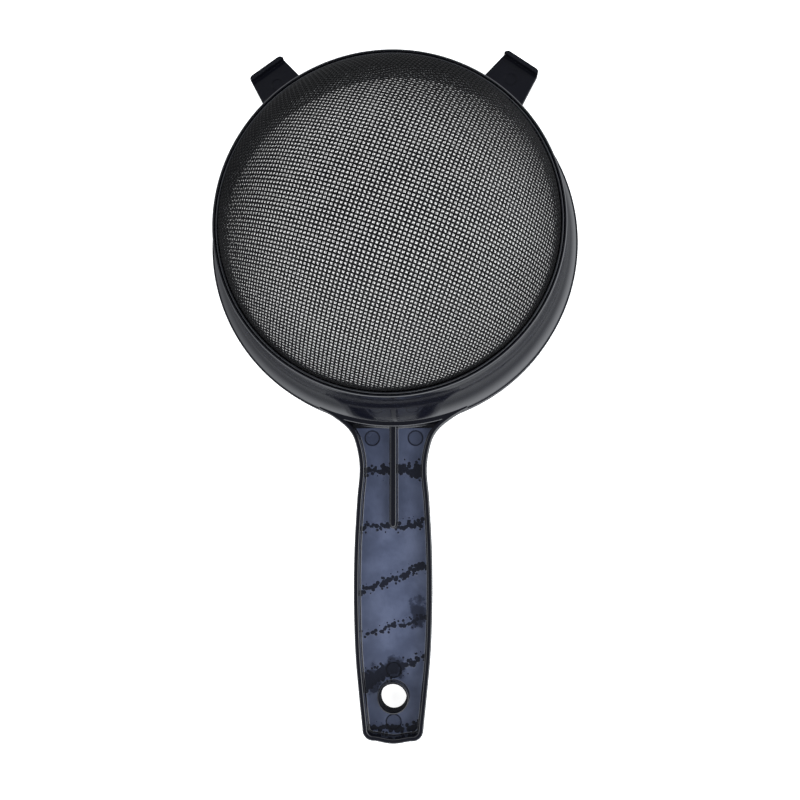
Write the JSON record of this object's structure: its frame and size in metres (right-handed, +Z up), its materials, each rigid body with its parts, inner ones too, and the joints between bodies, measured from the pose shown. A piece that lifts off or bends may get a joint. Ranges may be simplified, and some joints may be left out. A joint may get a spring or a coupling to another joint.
{
  "type": "double sieve strainer",
  "caption": "Handled strainer lying on its rim, with a deep flared collar, two nested mesh domes, a channelled handle with a hanging hole and two rest hooks opposite it.",
  "frame": {"origin": "on the plane that the rim rests on, under the middle of the outline seen from above; the bowl's axis is 63.3 mm along +Y from it", "axes": "+Z up through the mesh dome of the upturned strainer, -Y along the handle, +X to the right seen from above with the handle towards the viewer"},
  "size_m": [0.16, 0.2966, 0.0868],
  "materials": {
    "frame_plastic": "high gloss, navy black",
    "ring_plastic": "satin black",
    "coarse_mesh": "black monofilament, heat formed",
    "fine_mesh": "pale fine monofilament, heat formed"
  },
  "bodies": {
    "root": {"frame_moulding": "frame_plastic", "retaining_ring": "ring_plastic", "spacer_ring": "ring_plastic", "outer_mesh": "coarse_mesh", "inner_mesh": "fine_mesh"}
  },
  "joints": []
}
